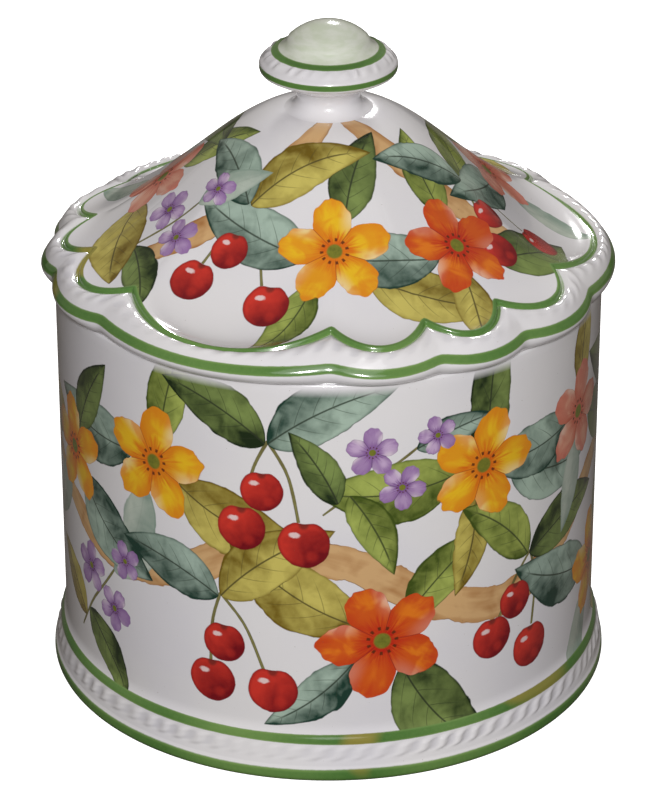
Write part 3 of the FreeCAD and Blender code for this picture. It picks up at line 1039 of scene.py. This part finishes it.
def cherryTwig(surface, angle, level, turn=0.0, scale=1.0, leaves=(moss, lime)):
    at = spray(surface, angle, level, turn, scale)
    surface.stroke([at(0, 3), at(-5, -6), at(-9, -19)], 0.55 * scale, 0.0, sprig)
    surface.stroke([at(0, 3), at(5, -8), at(7, -23)], 0.55 * scale, 0.0, sprig)
    surface.fruit(*at(-3, -13), 6.6 * scale)
    surface.fruit(*at(-10, -25), 7.4 * scale)
    surface.fruit(*at(8, -30), 7.8 * scale)
    surface.leaf(*at(0, 2), 22 + turn, 42 * scale, 0.44, 0.3, leaves[0])
    surface.leaf(*at(-1, 2), 150 + turn, 36 * scale, 0.46, -0.3, leaves[1])


def floretSprig(surface, angle, level, turn=0.0, scale=1.0, petals=lavender, leaves=(teal, lime, mist)):
    at = spray(surface, angle, level, turn, scale)
    surface.stroke([at(-16, -14), at(-6, -4), at(4, 4), at(13, 12)], 0.5 * scale, 0.4, sprig)
    surface.leaf(*at(-9, -7), -58 + turn, 30 * scale, 0.42, 0.2, leaves[0])
    surface.leaf(*at(-12, -10), 128 + turn, 27 * scale, 0.44, -0.2, leaves[1])
    surface.leaf(*at(9, 8), 20 + turn, 26 * scale, 0.4, 0.2, leaves[2])
    surface.blossom(*at(-4, 7), 8.0 * scale, 20, 0.1, petals)
    surface.blossom(*at(6, -4), 7.4 * scale, 50, 0.1, petals)
    surface.blossom(*at(15, 12), 6.4 * scale, 75, 0.1, petals)


wall = Surface(jar, jarPoint, jarShift)
wall.stroke([(186, 84), (202, 70), (220, 60), (238, 66), (256, 78), (274, 74), (290, 60), (306, 52), (322, 58),
             (340, 76), (362, 92)], 6.2, 0.85, tan)
wall.stroke([(-6, 52), (10, 60), (26, 72), (44, 80), (62, 70), (80, 56), (98, 50), (116, 60), (134, 76), (152, 82),
             (168, 70), (188, 40)], 6.2, 0.85, tan)
blossomSpray(wall, 232, 100, 14, 1.0)
cherryTwig(wall, 258, 112, 4, 1.05, (teal, moss))
blossomSpray(wall, 281, 47, -16, 1.08, flame, (olive, moss, lime, teal))
floretSprig(wall, 214, 44, 12, 1.1, lavender, (moss, olive, mist))
cherryTwig(wall, 248, 58, 14, 1.05, (olive, teal))
blossomSpray(wall, 303, 101, 22, 1.0, gold, (lime, teal, moss, olive))
floretSprig(wall, 281, 104, -6, 1.05, lavender, (lime, moss, teal))
cherryTwig(wall, 316, 62, -12, 1.0, (moss, lime))
blossomSpray(wall, 203, 88, 0, 0.95, gold, (olive, teal, moss, mist))
blossomSpray(wall, 334, 102, 20, 0.9, coral, (teal, moss, olive, mist))
blossomSpray(wall, 346, 42, 0, 1.0, gold)
for turned in (0, 82):
    blossomSpray(wall, 14 + turned, 100, 0, 1.0, flame, (moss, lime, teal, olive))
    cherryTwig(wall, 34 + turned, 64, 4, 1.0)
    floretSprig(wall, 54 + turned, 108, 10, 1.05)
    blossomSpray(wall, 70 + turned, 44, 14, 1.0)
wall.finish()

dome = Surface(lid, lidPoint, lidShift)
dome.stroke([(204, 72), (220, 54), (238, 36), (256, 22), (268, 11)], 4.6, 0.7, tan)
dome.stroke([(292, 11), (306, 24), (322, 42), (334, 60), (340, 78)], 4.8, 0.7, tan)
dome.stroke([(40, 76), (54, 50), (70, 32), (90, 11)], 4.6, 0.7, tan)
blossomSpray(dome, 272, 52, 4, 0.95, gold, (teal, olive, moss, lime))
cherryTwig(dome, 236, 42, 10, 0.95, (olive, teal))
blossomSpray(dome, 314, 56, 12, 0.92, flame, (teal, moss, lime, olive))
floretSprig(dome, 208, 56, 26, 1.0, lavender, (moss, olive, mist))
cherryTwig(dome, 342, 44, -6, 0.9, (lime, teal))
blossomSpray(dome, 174, 52, 0, 0.9, coral)
blossomSpray(dome, 22, 54, 0, 0.9, coral)
floretSprig(dome, 56, 60, 0, 1.0)
blossomSpray(dome, 92, 52, 10, 0.92, flame, (teal, moss, lime, olive))
cherryTwig(dome, 136, 44, 0, 0.95)
dome.finish()

jar.data.materials.append(glazedMaterial("jarPaintedGlaze", True))
lid.data.materials.append(glazedMaterial("lidPaintedGlaze", True))
knob.data.materials.append(glazedMaterial("knobPaintedGlaze", False, linear(234, 238, 224)))
print("materials made")


# Floor, light and camera

studio = {
    "distance": 1.1877, "elevation": 26.46, "aim": 0.087, "lens": 166.8,
    "worldLight": 0.16, "floorGlow": 0.93, "floorDim": 0.08, "lightAim": (0.0, 0.0, 0.1),
}

lamps = {
    "keySmall": {"size": 0.14, "power": 9.6, "spot": (0.0, -1.12, 0.72)},
    "frontSoft": {"size": 0.9, "power": 3.0, "spot": (0.05, -1.3, 0.95)},
    "backSoft": {"size": 0.16, "power": 10.0, "spot": (0.1, 1.15, 0.8)},
}

bpy.context.scene.view_settings.view_transform = "Standard"

floorMesh = bpy.data.meshes.new("studioFloor")
floorModel = bmesh.new()
bmesh.ops.create_grid(floorModel, x_segments=1, y_segments=1, size=40.0)
floorModel.to_mesh(floorMesh)
floorModel.free()
floor = bpy.data.objects.new("studioFloor", floorMesh)
bpy.context.scene.collection.objects.link(floor)
floorMaterial = bpy.data.materials.new("studioFloorPale")
floorMaterial.use_nodes = True
floorGraph = Graph(floorMaterial.node_tree)
floorShader = floorMaterial.node_tree.nodes["Principled BSDF"]
floorShader.inputs["Roughness"].default_value = 0.9
floorShader.inputs["Emission Color"].default_value = (1.0, 1.0, 1.0, 1.0)
seen, dim = floorGraph.seen(), studio["floorDim"]
floorGraph.feed(floorShader.inputs["Emission Strength"], seen * studio["floorGlow"])
floorGraph.feed(floorShader.inputs["Base Color"],
                floorGraph.mix(seen, (dim, dim * 0.86, dim * 0.74, 1.0), (0.8, 0.8, 0.8, 1.0)))
floorMesh.materials.append(floorMaterial)

world = bpy.data.worlds.new("studioWorld")
world.use_nodes = True
worldGraph = Graph(world.node_tree)
backdrop = world.node_tree.nodes["Background"]
seen = worldGraph.seen()
worldGraph.feed(backdrop.inputs["Color"], worldGraph.mix(seen, (1.0, 0.9, 0.8, 1.0), (1.0, 1.0, 1.0, 1.0)))
worldGraph.feed(backdrop.inputs["Strength"], worldGraph.fade(seen, 0.0, 1.0, studio["worldLight"], 1.0))
bpy.context.scene.world = world


def aimed(name, data, spot, target):
    # Puts a light or camera at its spot, with its view towards the target.
    holder = bpy.data.objects.new(name, data)
    bpy.context.scene.collection.objects.link(holder)
    holder.location = spot
    way = [target[axis] - spot[axis] for axis in range(3)]
    flat = math.hypot(way[0], way[1])
    holder.rotation_euler = (math.pi / 2.0 + math.atan2(way[2], flat), 0.0, math.atan2(-way[0], way[1]))
    return holder


rise = math.radians(studio["elevation"])
eye = (0.0, -studio["distance"] * math.cos(rise), studio["aim"] + studio["distance"] * math.sin(rise))
cameraData = bpy.data.cameras.new("viewer")
cameraData.lens = studio["lens"]
cameraData.sensor_width = 36.0
bpy.context.scene.camera = aimed("viewer", cameraData, eye, (0.0, 0.0, studio["aim"]))

for name, lamp in lamps.items():
    light = bpy.data.lights.new(name, "AREA")
    light.shape = "DISK"
    light.size, light.energy = lamp["size"], lamp["power"]
    aimed(name, light, lamp["spot"], studio["lightAim"])
print("studio made")
